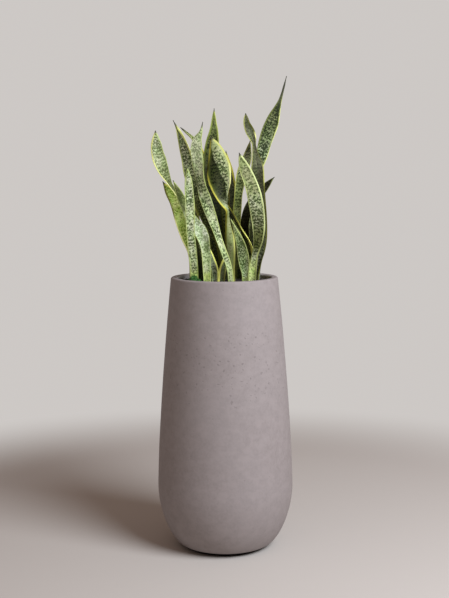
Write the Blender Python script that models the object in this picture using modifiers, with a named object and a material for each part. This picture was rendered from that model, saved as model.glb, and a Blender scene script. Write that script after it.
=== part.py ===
"""A tall planter filled with soil and a clump of variegated snake plant.

Metres, +Z up. The origin is the centre of the planter's flat foot, and the plant's best side faces -Y.
"""

import math

import bmesh
import bpy
import numpy as np
from mathutils import Vector

MM = 0.001
GAP = 0.3 * MM

# Planter: a turned shell with a rounded foot, a low belly and a long taper to the rim
HEIGHT = 800 * MM
RIM_RADIUS = 156 * MM
BELLY_RADIUS = 200 * MM
BELLY_HEIGHT = 185 * MM
FOOT_RADIUS = 114 * MM
FOOT_ROUNDING = 1.8
TAPER = 1.4
WALL = 19 * MM
FLOOR = 26 * MM
LIP_ROUNDING = 5 * MM
FOOT_STEPS = 7
FOOT_CROWDING = 1.8  # above 1, the foot's points lie closer near the floor
TAPER_STEPS = 9
LIP_STEPS = 3
TURN_STEPS = 48

# Fill: a drainage layer on the floor and soil to just under the rim
DRAINAGE_TOP = 130 * MM
SOIL_EDGE = 15 * MM
SOIL_CROWN = 4 * MM
CROWN_STEPS = 3

# Leaves
EYE = Vector((0.0, -3066 * MM, 1098 * MM))
SPLAY = 0.75  # how much more depth a leaf has, for each metre over the rim
BURIED = 50 * MM
HOLE_CLEARANCE = 0.8 * MM
CUTTER_RISE = 35 * MM
BLADE_CELLS = 4
ROW_LENGTH = 29 * MM
FEWEST_LEAF_ROWS = 9
FEWEST_HOLE_ROWS = 3
CHANNEL_FADE = 110 * MM  # length over which the foot's deep channel opens into the blade's
MIDRIB_THICKNESS = 4.2 * MM
MARGIN_THICKNESS = 1.3 * MM
FOOT_THICKENING = 1.3
RIPPLE = 1.6 * MM
RIPPLE_LENGTH = 120 * MM
RIPPLE_SHIFT = 1.3  # radians between a margin's ripple and the middle's
RIPPLE_START = 0.7  # radians for each station, so that the leaves differ
FULL_RIPPLE_WIDTH = 20 * MM
TIP_WIDTH = 1.6 * MM

# A leaf is a name, its channel in degrees at the foot and on the blade, and stations from soil to tip.
# A station is across, height over the rim, depth behind the axis and width in mm, and turn in degrees.
# Across and height are laid out on the plane through the axis, as an eye at EYE sees the middle line.
# A turn of 0 faces the blade to the eye, and 90 to +X. A negative channel is hollow on the far side.
LEAVES = (
    ("leaf_01", 100, 30, (
        (-72, -16, -4, 22, 50), (-85, 92, -8, 28, 55), (-117, 199, -16, 37, 72), (-138, 240, -22, 38, 80),
        (-157, 268, -28, 35, 75), (-167, 290, -32, 36, 54), (-177, 313, -37, 39, 36),
        (-185, 336, -40, 39, 24), (-190, 354, -43, 35, 10), (-194, 388, -47, 27, -5),
        (-196, 422, -50, 0, -10))),
    ("leaf_02", 90, 26, (
        (-90, -16, 40, 21, -10), (-95, 77, 46, 26, -10), (-107, 112, 52, 33, -10),
        (-122, 164, 60, 40, -12), (-141, 222, 70, 35, -14), (-160, 251, 76, 23, -14),
        (-177, 277, 80, 0, -14))),
    ("leaf_03", 90, 34, (
        (-51, -16, -60, 20, 15), (-52, 17, -59, 22, 15), (-53, 61, -58, 26, 16), (-56, 90, -57, 29, 17),
        (-61, 112, -57, 35, 18), (-71, 134, -57, 38, 19), (-86, 154, -58, 35, 20), (-103, 180, -60, 28, 20),
        (-115, 206, -61, 25, 20), (-128, 238, -62, 20, 18), (-147, 280, -64, 0, 18))),
    ("leaf_04", 80, 30, (
        (-88, -16, -52, 22, 16), (-90, 40, -64, 23, 18), (-95, 92, -75, 24, 20),
        (-98, 135, -84, 25, 23), (-99, 179, -91, 27, 25), (-101, 237, -99, 27, 25),
        (-103, 276, -105, 21, 24), (-105, 318, -111, 0, 24))),
    ("leaf_05", 90, 32, (
        (-14, -16, -8, 20, -25), (-19, 42, -7, 22, -28), (-33, 106, -6, 26, -32), (-51, 164, -6, 31, -35),
        (-72, 222, -8, 41, -36), (-91, 280, -12, 44, -36), (-103, 338, -17, 41, -34),
        (-112, 370, -20, 36, -32), (-123, 405, -24, 21, -28), (-134, 430, -27, 7, -25),
        (-145, 451, -29, 0, -25))),
    ("leaf_06", 90, 40, (
        (4, -16, 20, 20, 40), (-3, 42, 22, 22, 48), (-20, 106, 25, 26, 56), (-38, 164, 28, 30, 62),
        (-54, 222, 31, 33, 66), (-65, 280, 33, 34, 68), (-69, 335, 33, 32, 70), (-77, 374, 31, 29, 70),
        (-90, 398, 29, 26, 68), (-107, 415, 27, 19, 66), (-124, 431, 25, 0, 66))),
    ("leaf_07", 90, 30, (
        (17, -16, -74, 17, 30), (14, 19, -75, 17, 30), (6, 50, -77, 18, 30), (-4, 77, -79, 18, 28),
        (-14, 106, -81, 19, 24), (-24, 138, -84, 22, 18), (-34, 168, -86, 26, 8), (-44, 198, -88, 30, -4),
        (-53, 226, -89, 32, -18), (-62, 258, -90, 33, -42), (-68, 284, -91, 34, -44),
        (-72, 309, -92, 34, -30), (-75, 338, -93, 34, -24), (-78, 367, -94, 33, -22),
        (-75, 396, -95, 25, -20), (-66, 416, -96, 10, -20), (-60, 446, -97, 0, -20))),
    ("leaf_08", 90, 30, (
        (-20, -16, 82, 20, 25), (-26, 60, 87, 24, 25), (-40, 164, 94, 34, 25), (-50, 250, 99, 35, 24),
        (-57, 318, 103, 28, 20), (-61, 352, 105, 14, 18), (-65, 380, 107, 0, 18))),
    ("leaf_09", 90, 28, (
        (-7, -16, 56, 21, 15), (-9, 77, 57, 24, 15), (-15, 135, 58, 29, 14), (-24, 193, 59, 35, 12),
        (-32, 251, 60, 40, 12), (-38, 309, 60, 43, 14), (-38, 345, 60, 43, 14), (-33, 388, 59, 38, 12),
        (-29, 418, 58, 27, 10), (-28, 452, 57, 13, 10), (-27, 484, 56, 0, 10))),
    ("leaf_10", 90, 36, (
        (76, -16, 14, 22, -40), (78, 30, 13, 23, -42), (78, 72, 11, 25, -50), (69, 106, 8, 26, -62),
        (51, 137, 6, 25, -70), (35, 166, 5, 25, -74), (18, 195, 5, 25, -74), (0, 219, 6, 25, -70),
        (-16, 243, 7, 25, -60), (-22, 268, 8, 25, -45), (-24, 295, 8, 24, -32), (-23, 322, 8, 16, -24),
        (-22, 348, 8, 0, -24))),
    ("leaf_11", -90, -64, (
        (20, -16, -42, 20, -15), (18, 42, -42, 24, -10), (18, 82, -42, 27, 0), (17, 112, -41, 27, 14),
        (14, 150, -40, 24, 48), (13, 173, -39, 25, 72), (12, 194, -39, 28, 80), (5, 212, -39, 40, 66),
        (2, 222, -39, 46, 56), (-3, 245, -40, 56, 37), (-7, 268, -41, 64, 20), (-12, 292, -42, 68, 10),
        (-14, 315, -43, 66, 4), (-17, 338, -44, 56, 0), (-22, 361, -45, 42, -4), (-28, 381, -46, 26, -6),
        (-37, 404, -47, 0, -8))),
    ("leaf_12", 90, 40, (
        (28, -16, 66, 22, 50), (26, 60, 66, 26, 54), (23, 135, 67, 32, 58), (20, 190, 68, 35, 58),
        (21, 226, 68, 36, 54), (20, 258, 68, 36, 50), (15, 292, 67, 34, 48), (9, 330, 65, 25, 45),
        (6, 364, 63, 0, 45))),
    ("leaf_13", 90, 26, (
        (82, -16, -26, 22, -20), (83, 20, -28, 23, -18), (86, 45, -31, 20, -16), (90, 66, -34, 18, -16),
        (95, 84, -37, 21, -16), (99, 106, -42, 28, -20), (101, 137, -48, 35, -20),
        (99, 166, -53, 38, -12), (95, 194, -58, 40, 0), (90, 222, -63, 41, 10), (83, 251, -68, 40, 16),
        (73, 280, -72, 37, 18), (61, 309, -76, 31, 18), (51, 336, -79, 18, 18), (44, 358, -82, 0, 18))),
    ("leaf_14", 210, 30, (
        (96, -16, -14, 25, -38), (98, 20, -13, 25, -38), (102, 50, -11, 27, -34), (106, 78, -9, 29, -22),
        (108, 104, -7, 31, -12), (108, 135, -6, 33, -4), (106, 178, -5, 34, 0), (102, 224, -5, 35, 0),
        (98, 280, -6, 36, 8), (96, 309, -8, 37, 18), (92, 338, -10, 37, 40), (88, 360, -11, 36, 60),
        (85, 384, -12, 34, 70), (81, 402, -12, 30, 48), (72, 425, -12, 24, 14), (66, 441, -12, 18, 4),
        (64, 456, -12, 12, 0), (63, 470, -12, 0, 0))),
    ("leaf_15", 90, 30, (
        (80, -16, 36, 22, 30), (85, 110, 37, 26, 30), (89, 200, 38, 30, 30), (92, 270, 38, 33, 30),
        (98, 322, 38, 35, 30), (109, 354, 38, 39, 28), (115, 380, 38, 43, 26), (125, 410, 38, 45, 24),
        (135, 436, 38, 42, 22), (145, 463, 38, 33, 20), (153, 483, 38, 22, 18), (161, 504, 38, 11, 16),
        (167, 524, 37, 6, 14), (174, 550, 36, 4, 12), (180, 574, 35, 0, 12))),
    ("leaf_16", 90, 36, (
        (40, -16, 34, 22, 40), (38, 80, 34, 24, 42), (36, 150, 34, 27, 42), (37, 205, 32, 30, 40),
        (44, 265, 26, 34, 36), (54, 309, 18, 36, 32), (67, 350, 10, 29, 28), (76, 392, 5, 0, 28))),
    ("leaf_17", 90, 34, (
        (72, -16, 62, 21, -35), (69, 50, 66, 24, -35), (63, 106, 72, 29, -35), (61, 156, 80, 32, -35),
        (72, 193, 87, 34, -35), (95, 229, 97, 38, -32), (117, 256, 105, 31, -28),
        (129, 270, 109, 19, -26), (137, 279, 111, 9, -26), (146, 288, 113, 0, -26))),
    ("leaf_18", 90, 36, (
        (62, -16, -58, 18, -25), (62, 8, -60, 20, -25), (60, 35, -62, 31, -25), (56, 62, -65, 35, -25),
        (50, 92, -69, 29, -25), (42, 115, -72, 21, -25), (33, 137, -76, 12, -25), (18, 171, -81, 0, -25))),
    ("leaf_19", 90, 40, (
        (-28, -16, -38, 19, 15), (-29, 19, -37, 21, 15), (-38, 48, -36, 21, 15), (-46, 74, -35, 15, 15),
        (-52, 98, -34, 0, 15))),
    ("leaf_20", 90, 40, (
        (-8, -16, -56, 18, -10), (-5, 19, -57, 19, -10), (2, 46, -58, 14, -10), (7, 72, -59, 0, -10))),
    ("leaf_21", 90, 30, (
        (-58, -16, 74, 20, 150), (-66, 70, 84, 26, 150), (-80, 140, 98, 33, 152),
        (-92, 192, 112, 26, 154), (-102, 236, 124, 0, 155))),
    ("leaf_22", 90, 28, (
        (-40, -16, 104, 20, 195), (-42, 90, 112, 27, 196), (-44, 180, 122, 33, 198),
        (-44, 260, 132, 34, 200), (-42, 330, 141, 26, 200), (-40, 392, 149, 0, 200))),
    ("leaf_23", 90, 30, (
        (4, -16, 88, 20, 165), (4, 80, 97, 27, 166), (5, 160, 109, 33, 168), (6, 230, 121, 30, 170),
        (6, 282, 131, 17, 170), (4, 326, 139, 0, 170))),
    ("leaf_24", 90, 30, (
        (56, -16, 96, 20, 210), (62, 60, 103, 26, 212), (76, 130, 112, 33, 214), (92, 190, 122, 34, 216),
        (99, 240, 131, 25, 218), (101, 288, 139, 0, 218))),
    ("leaf_25", 90, 36, (
        (24, -16, 116, 18, 185), (26, 50, 124, 24, 185), (29, 100, 134, 26, 186), (32, 140, 143, 17, 188),
        (34, 172, 151, 0, 190))),
    ("leaf_26", 90, 34, (
        (-84, -16, 82, 18, 140), (-90, 55, 90, 23, 140), (-98, 105, 98, 23, 142),
        (-106, 148, 106, 15, 144), (-112, 182, 112, 0, 145))),
    ("leaf_27", 90, 34, (
        (98, -16, 70, 18, 235), (103, 50, 77, 23, 236), (105, 100, 85, 23, 238), (105, 140, 92, 15, 240),
        (104, 172, 98, 0, 240))),
)

MATERIALS = {
    "planter_fibreclay": ((0.27, 0.225, 0.21), 0.78),
    "drainage_granules": ((0.32, 0.15, 0.08), 0.95),
    "potting_soil": ((0.035, 0.024, 0.017), 0.98),
    "snake_leaf": ((0.16, 0.24, 0.10), 0.45),
}


def clear_scene():
    for obj in list(bpy.data.objects):
        bpy.data.objects.remove(obj)


def new_collection(name):
    made = bpy.data.collections.new(name)
    bpy.context.scene.collection.children.link(made)
    return made


def material(name):
    """The named material, made at its first use."""
    if name in bpy.data.materials:
        return bpy.data.materials[name]
    colour, roughness = MATERIALS[name]
    made = bpy.data.materials.new(name)
    made.use_nodes = True
    shader = made.node_tree.nodes["Principled BSDF"]
    shader.inputs["Base Color"].default_value = (*colour, 1.0)
    shader.inputs["Roughness"].default_value = roughness
    shader.inputs["Metallic"].default_value = 0.0
    return made


def add_object(name, mesh, collection, finish):
    obj = bpy.data.objects.new(name, mesh)
    mesh.materials.append(material(finish))
    collection.objects.link(obj)
    return obj


def outer_radius(height):
    """Rounded below the belly, and a slow taper above it."""
    if height < BELLY_HEIGHT:
        drop = (1 - height / BELLY_HEIGHT) ** FOOT_ROUNDING
        return FOOT_RADIUS + (BELLY_RADIUS - FOOT_RADIUS) * (1 - drop) ** (1 / FOOT_ROUNDING)
    rise = (height - BELLY_HEIGHT) / (HEIGHT - BELLY_HEIGHT)
    return BELLY_RADIUS - (BELLY_RADIUS - RIM_RADIUS) * rise**TAPER


def outer_line():
    """Points (radius, height) of the planter's outside, from the foot up."""
    foot = [BELLY_HEIGHT * (i / FOOT_STEPS) ** FOOT_CROWDING for i in range(FOOT_STEPS)]
    taper = np.linspace(BELLY_HEIGHT, HEIGHT, TAPER_STEPS + 1)
    return np.array([(outer_radius(h), h) for h in (*foot, *taper)])


def inset(line, depth):
    """The line moved inwards by a depth, square to the wall."""
    along = np.gradient(line, axis=0)
    along /= np.linalg.norm(along, axis=1, keepdims=True)
    return line + depth * np.stack([-along[:, 1], along[:, 0]], axis=1)


def cut_line(line, low, high):
    """The stretch of a rising line between two heights, with its ends on the line."""
    kept = [tuple(p) for p in line if low < p[1] < high]
    ends = [(float(np.interp(h, line[:, 1], line[:, 0])), h) for h in (low, high)]
    return [ends[0], *kept, ends[1]]


def arc(centre, radius, start, stop, steps):
    angles = np.radians(np.linspace(start, stop, steps + 1))
    return [(centre[0] + radius * math.cos(a), centre[1] + radius * math.sin(a)) for a in angles]


def turned(name, profile, collection, finish):
    """A solid of revolution. The profile starts and ends on the axis and runs down its outer side."""
    mesh = bpy.data.meshes.new(name)
    points = [(radius, 0.0, height) for radius, height in profile]
    mesh.from_pydata(points, [(i, i + 1) for i in range(len(points) - 1)], [])
    obj = add_object(name, mesh, collection, finish)
    screw = obj.modifiers.new("turn", "SCREW")
    screw.steps = screw.render_steps = TURN_STEPS
    screw.use_merge_vertices = True
    screw.merge_threshold = 0.00001
    screw.use_smooth_shade = True
    return obj


def planter(collection):
    outside = outer_line()
    inside = inset(outside, WALL)
    rim_in = float(np.interp(HEIGHT, inside[:, 1], inside[:, 0]))
    lip_height = HEIGHT - LIP_ROUNDING
    profile = [(0.0, FLOOR), *cut_line(inside, FLOOR, lip_height - LIP_ROUNDING)]
    profile += arc((rim_in + LIP_ROUNDING, lip_height), LIP_ROUNDING, 180, 90, LIP_STEPS)
    profile += arc((RIM_RADIUS - LIP_ROUNDING, lip_height), LIP_ROUNDING, 90, 0, LIP_STEPS)
    profile += [tuple(p) for p in outside[::-1] if p[1] < lip_height - LIP_ROUNDING]
    profile.append((0.0, 0.0))
    return turned("planter", profile, collection, "planter_fibreclay")


def fill(name, low, edge, crown, collection, finish):
    """A filling that stands GAP off the planter's inside, between two heights, with a crowned top."""
    wall = cut_line(inset(outer_line(), WALL + GAP), low, edge)
    rim = wall[-1][0]
    top = [(rim * i / CROWN_STEPS, edge + crown * (1 - (i / CROWN_STEPS) ** 2)) for i in range(CROWN_STEPS)]
    return turned(name, [*top, *wall[::-1], (0.0, low)], collection, finish)


def smooth(keys, values, where):
    """A smooth curve through the values at the keys, read at the places in where."""
    keys, values = np.asarray(keys), np.asarray(values, float)
    slopes = np.gradient(values, keys, axis=0)
    i = np.clip(np.searchsorted(keys, where) - 1, 0, len(keys) - 2)
    span = keys[i + 1] - keys[i]
    t = (where - keys[i]) / span
    shape = (-1,) + (1,) * (values.ndim - 1)
    t, span = t.reshape(shape), span.reshape(shape)
    start = (2 * t**3 - 3 * t**2 + 1) * values[i] + (t**3 - 2 * t**2 + t) * span * slopes[i]
    stop = (3 * t**2 - 2 * t**3) * values[i + 1] + (t**3 - t**2) * span * slopes[i + 1]
    return start + stop


def on_sight_line(across, height, depth):
    """The point at this depth that the eye sees at (across, height) on the plane through the axis."""
    drawn = Vector((across * MM, 0.0, HEIGHT + height * MM))
    opened = depth * MM * (1 + SPLAY * max(height, 0.0) * MM)
    return EYE + (drawn - EYE) * (1 - opened / EYE.y)


def leaf_line(stations):
    """Keys along a leaf and, at each, its middle point, width and turn, from the buried foot up."""
    points = [on_sight_line(*row[:3]) for row in stations]
    points.insert(0, points[0] - Vector((0.0, 0.0, BURIED)))
    points = np.array(points)
    steps = np.linalg.norm(np.diff(points, axis=0), axis=1)
    keys = np.concatenate([[0.0], np.cumsum(steps)])
    widths = [stations[0][3] * MM, *(row[3] * MM for row in stations)]
    turns = [stations[0][4], *(row[4] for row in stations)]
    return keys, points, widths, turns


def blade_grid(name, channel, stations, reach, grow):
    """An open sheet on a leaf's middle surface, from its foot up to reach, grown all round by grow."""
    keys, points, widths, turns = leaf_line(stations)
    fewest = FEWEST_HOLE_ROWS if reach < keys[-1] else FEWEST_LEAF_ROWS
    reach = min(reach, keys[-1])
    rows = max(fewest, round(reach / ROW_LENGTH)) + 1
    where = np.linspace(0.0, reach, rows)
    middle = smooth(keys, points, where)
    ahead = smooth(keys, points, np.minimum(where + MM, keys[-1]))
    along = ahead - smooth(keys, points, np.maximum(where - MM, 0.0))
    along /= np.linalg.norm(along, axis=1, keepdims=True)
    middle[0] -= grow * along[0]
    width = np.maximum(smooth(keys, widths, where), TIP_WIDTH) + 2 * grow
    turn = np.radians(smooth(keys, turns, where))
    foot, blade = np.radians(channel)
    fade = np.clip((where - BURIED) / CHANNEL_FADE, 0.0, 1.0)
    bend = foot + (blade - foot) * fade * fade * (3 - 2 * fade)
    hollow = np.sign(bend)
    bend = np.abs(bend)

    mesh = bpy.data.meshes.new(name)
    sheet = bmesh.new()
    bmesh.ops.create_grid(sheet, x_segments=BLADE_CELLS, y_segments=rows - 1, size=1.0)
    weights = sheet.verts.layers.deform.verify()
    for vert in sheet.verts:
        side = vert.co.x
        i = round((vert.co.y + 1) / 2 * (rows - 1))
        across = Vector((math.cos(turn[i]), math.sin(turn[i]), 0.0))
        up = Vector(along[i])
        across = (across - up * across.dot(up)).normalized()
        facing = across.cross(up)
        angle = side * bend[i] / 2
        radius = width[i] / 2 / math.sin(min(bend[i], math.pi) / 2)
        ripple = 0.0 if grow else RIPPLE * fade[i] * abs(side) ** 3
        phase = 2 * math.pi * where[i] / RIPPLE_LENGTH + RIPPLE_SHIFT * side + RIPPLE_START * len(stations)
        ripple *= math.sin(phase) * min(1.0, width[i] / FULL_RIPPLE_WIDTH)
        lift = hollow[i] * radius * (1 - math.cos(angle)) + ripple
        vert.co = Vector(middle[i]) + across * radius * math.sin(angle) + facing * lift
        thick = MARGIN_THICKNESS + (MIDRIB_THICKNESS - MARGIN_THICKNESS) * (1 - side * side)
        thick *= 1 + (FOOT_THICKENING - 1) * (1 - fade[i])
        vert[weights][0] = (thick + 2 * grow) / (2 * MIDRIB_THICKNESS)
    bmesh.ops.triangulate(sheet, faces=sheet.faces)
    sheet.normal_update()
    sheet.to_mesh(mesh)
    sheet.free()
    return mesh


def solid_blade(name, mesh, collection):
    obj = add_object(name, mesh, collection, "snake_leaf")
    obj.vertex_groups.new(name="thickness")
    shell = obj.modifiers.new("blade", "SOLIDIFY")
    shell.thickness = 2 * MIDRIB_THICKNESS
    shell.offset = 0.0
    shell.vertex_group = "thickness"
    return obj


def main():
    clear_scene()
    parts = new_collection("potted_snake_plant")
    cutters = new_collection("leaf_holes")
    planter(parts)
    fill("drainage_layer", FLOOR + GAP, DRAINAGE_TOP, 0.0, parts, "drainage_granules")
    soil_edge = HEIGHT - SOIL_EDGE
    soil = fill("potting_soil", DRAINAGE_TOP + GAP, soil_edge, SOIL_CROWN, parts, "potting_soil")
    for name, foot, blade, stations in LEAVES:
        sheet = blade_grid(name, (foot, blade), stations, math.inf, 0.0)
        leaf = solid_blade(name, sheet, parts)
        leaf.data.shade_smooth()
        hole = blade_grid(name + "_hole", (foot, blade), stations, BURIED + CUTTER_RISE, HOLE_CLEARANCE)
        cutter = solid_blade(name + "_hole", hole, cutters)
        cutter.hide_render = True
        cutter.display_type = "WIRE"
        cut = soil.modifiers.new(name, "BOOLEAN")
        cut.operation = "DIFFERENCE"
        cut.object = cutter


main()
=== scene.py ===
"""The looks of a tall planter filled with soil and a clump of variegated snake plant.

Metres, +Z up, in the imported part's frame. The camera stands where the photograph was taken from.
"""

import math

import bmesh
import bpy
import numpy as np
from mathutils import Matrix, Vector, noise


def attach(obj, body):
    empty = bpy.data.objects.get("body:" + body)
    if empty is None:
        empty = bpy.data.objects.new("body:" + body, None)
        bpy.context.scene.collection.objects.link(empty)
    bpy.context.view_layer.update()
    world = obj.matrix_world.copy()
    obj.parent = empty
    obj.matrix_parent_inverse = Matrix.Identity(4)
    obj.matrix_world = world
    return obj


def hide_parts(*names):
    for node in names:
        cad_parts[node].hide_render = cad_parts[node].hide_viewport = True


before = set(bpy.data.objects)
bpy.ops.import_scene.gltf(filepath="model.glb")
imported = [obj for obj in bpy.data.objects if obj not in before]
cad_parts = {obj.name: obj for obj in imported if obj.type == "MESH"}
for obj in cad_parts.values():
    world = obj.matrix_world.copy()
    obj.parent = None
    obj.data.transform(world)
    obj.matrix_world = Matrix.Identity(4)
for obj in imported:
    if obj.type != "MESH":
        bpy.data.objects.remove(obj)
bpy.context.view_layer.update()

MM = 0.001
GAP = 0.3 * MM

# Photograph: its height and focal length in pixels, and the camera that was fitted to it, in degrees
PHOTO_HEIGHT = 598
FOCAL_PIXELS = 1056.2
SENSOR = 36.0
EYE = Vector((0.0, -3066 * MM, 1098 * MM))
PITCH = 6.762
ROLL = -0.275

# Studio: the floor fades into the background over FLOOR_FADE, and the key light aims at KEY_AIM's height
BACKGROUND = (0.61, 0.58, 0.56)
FLOOR_PAINT = (0.56, 0.52, 0.475)
FLOOR_FADE = (1.05, 1.9)
FLOOR_RADIUS = 9.0
FLOOR_CORNERS = 128
FLOOR_DROP = 0.5 * MM
FILL_LIGHT = (0.27, 0.210, 0.187)
KEY_COLOUR = (0.93, 0.98, 1.07)
KEY_WATTS = 179.0
KEY_SIZE = 2.2
KEY_TURN = 45.0
KEY_RISE = 35.0
KEY_REACH = 3.6
KEY_AIM = 0.7

# Planter, as in the part's source, in finer steps
HEIGHT = 800 * MM
RIM_RADIUS = 156 * MM
BELLY_RADIUS = 200 * MM
BELLY_HEIGHT = 185 * MM
FOOT_RADIUS = 114 * MM
FOOT_ROUNDING = 1.8
TAPER = 1.4
WALL = 19 * MM
FLOOR = 26 * MM
LIP_ROUNDING = 5 * MM
FOOT_STEPS = 40
FOOT_CROWDING = 1.8  # above 1, the foot's points lie closer near the floor
TAPER_STEPS = 70
LIP_STEPS = 8
TURN_STEPS = 192
UNEVENNESS = 0.35 * MM
UNEVENNESS_SIZE = 90 * MM

# Fibreclay: its tones, the heights over which the belt of pits starts and ends, the painted light on the
# inner wall's top, and the heights over which the painted shadow along the foot's edge comes in
CLAY_DARK = (0.243, 0.207, 0.197)
CLAY_LIGHT = (0.260, 0.226, 0.218)
CLAY_PATCH = (0.312, 0.268, 0.258)
CLAY_GRAIN = (0.305, 0.266, 0.257)
CLAY_PIT = (0.08, 0.065, 0.06)
# painted light on the inner wall's top, which the leaves' shadow would leave dark
CLAY_PAINTED_LIGHT = (0.52, 0.47, 0.45)
# painted shadow along the foot's edge, where the planter meets the floor
CLAY_PAINTED_SHADOW = (0.004, 0.003, 0.003)
BELT_START = (0.38, 0.54)
BELT_END = (0.71, 0.64)
# heights over which the painted shadow along the foot comes in
FOOT_SHADOW_HEIGHTS = (16 * MM, 12 * MM)

# Fill. A heap of soil, or a mound of moss, is x, y, radius and rise, and a fractal is the fall of its
# octaves' weights, the ratio of their sizes and their number
DRAINAGE_TOP = 130 * MM
GRANULE_SIZE = 11 * MM
GRANULE_DARK = (0.24, 0.1, 0.05)
GRANULE_LIGHT = (0.42, 0.22, 0.13)
# painted shade in the gaps between granules
GRANULE_GAP_SHADE = (0.05, 0.025, 0.015)
SOIL_EDGE = 15 * MM
SOIL_CROWN = 4 * MM
CROWN_STEPS = 40
SOIL_BUMPS = 2.2 * MM
SOIL_BUMP_SIZE = 14 * MM
SOIL_FRACTAL = (0.6, 2.0, 3)
SOIL_DARK = (0.012, 0.0095, 0.0075)
SOIL_LIGHT = (0.045, 0.034, 0.027)
SOIL_FIBRE = (0.12, 0.08, 0.05)
CRUMBS = 2600
CRUMB_SIZES = (1.4 * MM, 4.6 * MM)
CRUMB_LUMPINESS = (0.75, 1.2)
CRUMB_SQUASH = (0.55, 1.15)
CRUMB_LIFT = 0.2
LEAF_ROOM = 3 * MM
FILL_SEED = 11
HEAPS = ((-0.098, -0.058, 0.009, 0.015), (0.045, -0.1, 0.03, 0.004), (-0.03, -0.09, 0.03, 0.004))
MOUNDS = ((-0.086, -0.078, 0.014, 0.025), (-0.074, -0.086, 0.010, 0.016), (-0.098, -0.068, 0.007, 0.012))
MOUND_LUMPS = 0.3
MOUND_LUMP_COUNT = 2.3
MOUND_LUMP_SHIFT = 40  # for each metre, so that the mounds differ
MOUND_FRACTAL = (0.7, 2.0, 3)
MOSS_DARK = (0.018, 0.072, 0.010)
MOSS_LIGHT = (0.045, 0.165, 0.024)
MOSS_FROND = (0.10, 0.28, 0.05)
TUFTS = 500
TUFT_LENGTHS = (2.0 * MM, 4.5 * MM)
TUFT_RADIUS = 0.55 * MM
TUFT_POINT = 0.15
TUFT_LEAN = 0.5
TUFT_LIFT = 0.3
LOWEST_TUFT = 0.05
MOSS_SEED = 5

# Leaves, as in the part's source, in finer steps
SPLAY = 0.75  # how much more depth a leaf has, for each metre over the rim
BURIED = 50 * MM
COLUMNS = 18
ROW_LENGTH = 4 * MM
CHANNEL_FADE = 110 * MM  # length over which the foot's deep channel opens into the blade's
MIDRIB_THICKNESS = 4.2 * MM
MARGIN_THICKNESS = 1.3 * MM
FOOT_THICKENING = 1.3
RIPPLE = 1.6 * MM
RIPPLE_LENGTH = 120 * MM
RIPPLE_SHIFT = 1.3  # radians between a margin's ripple and the middle's
RIPPLE_START = 0.7  # radians for each station, so that the leaves differ
FULL_RIPPLE_WIDTH = 20 * MM
FULL_THICKNESS_WIDTH = 8 * MM
TIP_WIDTH = 1.6 * MM

# Leaf pattern: drifting rows of jagged dark marks over a flecked ground. A size is across and along
DRIFT_SIZE = (16 * MM, 22 * MM, 1.0)
DRIFT_REACH = 16 * MM
JAG_SIZE = (4.2 * MM, 30 * MM, 1.0)
JAG_REACH = 14 * MM
ROW_SPACING = 9.5 * MM
BLOT_SIZE = (6.2 * MM, 4.6 * MM, 1.0)
DENSE_SIZE = (45 * MM, 45 * MM, 1.0)
DENSE_WEIGHT = 0.32
PLAIN_WEIGHT = 0.16
COVER_WEIGHT = 0.36
MARK_SOFTNESS = 0.06
FLECK_SIZE = (11 * MM, 13 * MM, 1.0)
SPECK_SIZE = (2.6 * MM, 4.4 * MM, 1.0)
SPECK_WEIGHT = 0.28
VEIN_SIZE = (1.6 * MM, 70 * MM, 1.0)
VEIN_WEIGHT = 0.12
TINGE_SIZE = (16 * MM, 26 * MM, 1.0)
GREEN_TINGE = (0.90, 1.0, 0.80)
GREY_TINGE = (1.0, 0.98, 0.98)
GREEN_EDGE_TONE = (0.26, 0.32, 0.055)
PALE_FOOT = (0.78, 0.92, 0.36)
FOOT_MARKS = 0.3
DARK_TIP = (0.05, 0.052, 0.03)
LEVELS_REACH = 700  # mm, more than the longest leaf
HALF_SOFTNESS = 2 * MM
MARGIN_SOFTNESS = 0.5 * MM
MARGIN_WOBBLE = 4 * MM
SEED_STEP = 7.3  # how far one leaf's pattern lies from the next's
GLOSS = 0.12
SHADE_WARMTH = 1.5

# A ground's light tone, its middle tone and its marks' tone. Bright, green and fresh are lighter than the
# leaves' own tones: painted light on blades that lie in shade
GROUNDS = {
    "pale": ((0.70, 0.75, 0.54), (0.50, 0.57, 0.33), (0.17, 0.205, 0.10)),
    "bright": ((0.89, 0.98, 0.75), (0.70, 0.81, 0.54), (0.21, 0.28, 0.12)),
    "mint": ((0.73, 0.81, 0.51), (0.48, 0.55, 0.33), (0.085, 0.112, 0.050)),
    "fresh": ((0.84, 0.98, 0.66), (0.55, 0.70, 0.40), (0.12, 0.19, 0.07)),
    "silver": ((0.62, 0.66, 0.46), (0.37, 0.41, 0.23), (0.060, 0.080, 0.032)),
    "sage": ((0.42, 0.47, 0.32), (0.21, 0.26, 0.13), (0.026, 0.038, 0.013)),
    "slate": ((0.26, 0.27, 0.19), (0.15, 0.16, 0.105), (0.05, 0.055, 0.033)),
    "green": ((0.86, 1.0, 0.40), (0.56, 0.74, 0.17), (0.22, 0.34, 0.045)),
    "olive": ((0.25, 0.29, 0.12), (0.12, 0.145, 0.048), (0.030, 0.038, 0.009)),
    "teal": ((0.30, 0.36, 0.21), (0.14, 0.19, 0.09), (0.03, 0.045, 0.02)),
    # painted shadow, far darker than a leaf's own tone, for a leaf at the back of the clump
    "painted_shadow": ((0.05, 0.048, 0.022), (0.022, 0.020, 0.009), (0.008, 0.007, 0.003)),
}
# A margin's tone. Vivid and bright are partly painted light: lighter than a margin's own yellow, for
# margins that lie in shade
MARGINS = {
    "vivid": (0.98, 1.0, 0.24),
    "cream": (0.62, 0.70, 0.31),
    "yellow": (0.68, 0.72, 0.24),
    "bright": (0.92, 0.94, 0.38),
    "gold": (0.62, 0.56, 0.07),
    "amber": (0.94, 0.88, 0.17),
    "lime": (0.46, 0.54, 0.18),
    "olive": (0.13, 0.15, 0.04),
}
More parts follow.
